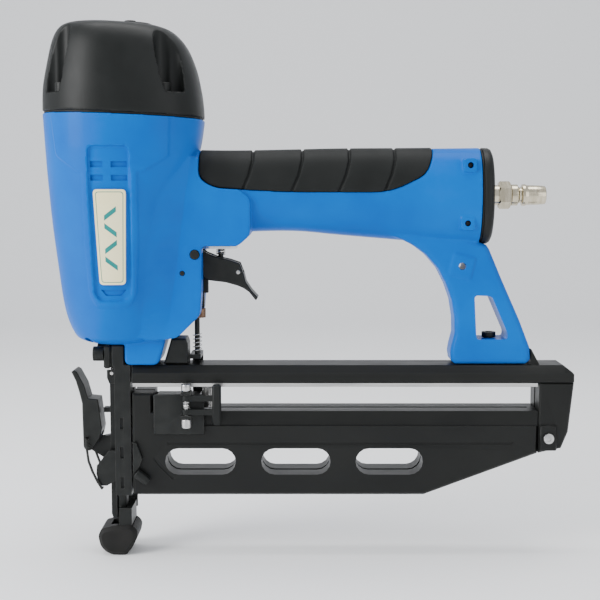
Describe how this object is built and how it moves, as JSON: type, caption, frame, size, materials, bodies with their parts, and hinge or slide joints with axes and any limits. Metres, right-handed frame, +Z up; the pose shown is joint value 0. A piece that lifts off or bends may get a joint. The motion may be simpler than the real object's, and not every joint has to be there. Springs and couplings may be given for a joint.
{
  "type": "pneumatic nail gun",
  "caption": "Air-driven finish nailer: barrel with exhaust cap, handle with strut, sprung contact tip, trigger valve, hinged nose door and a long side-pusher nail magazine.",
  "frame": {"origin": "centre of the contact pad's flat sole, on the driver's axis, where the tool meets the workpiece", "axes": "+Z up the driver's axis towards the exhaust cap, +X from the nose towards the air plug, -Y the side that carries the pusher tab"},
  "size_m": [0.3137, 0.083, 0.3179],
  "materials": {
    "blue_paint": "satin",
    "black_plastic": "satin",
    "soft_rubber": "matte",
    "black_steel": "phosphated satin",
    "bright_steel": "brushed",
    "bare_aluminium": "machined",
    "nickel_plate": "polished",
    "brass": "satin",
    "badge": "gloss"
  },
  "bodies": {
    "body": {"air_plug": "nickel_plate", "badge_plate": "badge", "bumper": "soft_rubber", "cap_gasket": "soft_rubber", "cap_screw_1": "black_steel", "cap_screw_2": "black_steel", "cap_screw_3": "black_steel", "cap_screw_4": "black_steel", "cylinder": "bare_aluminium", "deflector_screw": "black_steel", "door_hinge_pin": "bright_steel", "end_cap": "black_plastic", "end_cap_gasket": "soft_rubber", "end_cap_pin_lower": "black_steel", "end_cap_pin_upper": "black_steel", "exhaust_cap": "black_plastic", "guide_roll_pin": "black_steel", "handle_grip": "soft_rubber", "magazine_end_screw": "bright_steel", "magazine_front_bracket": "black_steel", "magazine_lower_body": "black_plastic", "magazine_rear_block": "black_plastic", "magazine_top_rail": "black_plastic", "main_housing": "blue_paint", "nose_body": "black_steel", "nose_bolt_far": "black_steel", "nose_bolt_near": "black_steel", "nose_clamp_plate": "black_steel", "nose_lock_bracket": "black_steel", "nose_lock_screw": "black_steel", "rail_strip": "bright_steel", "strut_bolt": "black_steel", "trigger_pin": "black_steel", "valve_housing": "bare_aluminium"},
    "trigger": {"trigger": "black_plastic", "trigger_lever_pin": "bright_steel"},
    "trigger_lever": {"trigger_lever": "bright_steel"},
    "valve_stem": {"valve_stem": "black_steel", "valve_spring": "bright_steel", "trigger_spring": "bright_steel"},
    "contact_arm": {"contact_arm_lower": "black_steel", "contact_arm_upper": "black_steel", "no_mar_pad": "soft_rubber", "contact_arm_spring": "bright_steel"},
    "depth_wheel": {"depth_wheel": "brass"},
    "nose_door": {"nose_door": "black_steel", "latch_pivot_pin": "black_steel"},
    "latch_lever": {"latch_lever": "black_steel"},
    "latch_bail": {"latch_bail": "black_steel"},
    "pusher": {"pusher_body": "black_steel", "pusher_hinge_pin": "bright_steel", "pusher_roll_spring": "bright_steel", "pusher_tab_spring": "bright_steel"},
    "pusher_tab": {"pusher_tab": "black_plastic"},
    "exhaust_deflector": {"exhaust_deflector": "black_plastic"},
    "driver": {"piston": "bare_aluminium", "piston_ring": "soft_rubber", "driver_blade": "bright_steel"},
    "head_valve": {"head_valve": "black_plastic", "head_valve_spring": "bright_steel"}
  },
  "joints": [
    {"name": "trigger_pull", "type": "hinge", "parent": "body", "child": "trigger", "pos_m": [0.0483, 0, 0.1817], "axis": [0, -1, 0], "range_deg": [0, 10], "stiffness_Nm_per_rad": 0.15, "springref_deg": -11.46},
    {"name": "valve_press", "type": "slide", "parent": "body", "child": "valve_stem", "axis": [0, 0, 1], "range_m": [0, 0.0026], "deforming": ["valve_spring", "trigger_spring"]},
    {"name": "contact_arm_slide", "type": "slide", "parent": "body", "child": "contact_arm", "axis": [0, 0, 1], "range_m": [0, 0.008], "stiffness_N_per_m": 600, "springref_m": -0.012, "deforming": ["contact_arm_spring"]},
    {"name": "trigger_lever_tilt", "type": "hinge", "parent": "trigger", "child": "trigger_lever", "pos_m": [0.073, 0, 0.1707], "axis": [0, 1, 0], "range_deg": [0, 22]},
    {"name": "depth_wheel_turn", "type": "hinge", "parent": "contact_arm", "child": "depth_wheel", "pos_m": [0.0478, 0, 0.14575], "axis": [0, 0, 1], "continuous": true},
    {"name": "nose_door_swing", "type": "hinge", "parent": "body", "child": "nose_door", "pos_m": [-0.0027, 0, 0.1103], "axis": [0, 1, 0], "range_deg": [0, 40]},
    {"name": "latch_swing", "type": "hinge", "parent": "nose_door", "child": "latch_lever", "pos_m": [-0.0173, 0, 0.0663], "axis": [0, -1, 0], "range_deg": [0, 100]},
    {"name": "latch_bail_turn", "type": "hinge", "parent": "latch_lever", "child": "latch_bail", "pos_m": [-0.0179, 0, 0.0709], "axis": [0, -1, 0], "range_deg": [-100, 0]},
    {"name": "pusher_slide", "type": "slide", "parent": "body", "child": "pusher", "axis": [1, 0, 0], "range_m": [0, 0.185], "stiffness_N_per_m": 30, "springref_m": -0.12},
    {"name": "pusher_tab_press", "type": "hinge", "parent": "pusher", "child": "pusher_tab", "pos_m": [0.0428, -0.0204, 0.0926], "axis": [0, 0, 1], "range_deg": [0, 12], "stiffness_Nm_per_rad": 0.1, "springref_deg": -8.59, "deforming": ["pusher_tab_spring"]},
    {"name": "exhaust_turn", "type": "hinge", "parent": "body", "child": "exhaust_deflector", "pos_m": [0.01, 0, 0.312], "axis": [0, 0, 1], "continuous": true},
    {"name": "driver_stroke", "type": "slide", "parent": "body", "child": "driver", "axis": [0, 0, -1], "range_m": [0, 0.084]},
    {"name": "head_valve_lift", "type": "slide", "parent": "body", "child": "head_valve", "axis": [0, 0, 1], "range_m": [0, 0.005], "stiffness_N_per_m": 2000, "springref_m": -0.01, "deforming": ["head_valve_spring"]}
  ],
  "couplings": [
    {"joint": "valve_press", "follows": "trigger_pull", "m_per_rad": 0.0145},
    {"joint": "trigger_lever_tilt", "follows": "contact_arm_slide", "rad_per_m": 46},
    {"joint": "latch_bail_turn", "follows": "latch_swing", "ratio": -1}
  ]
}
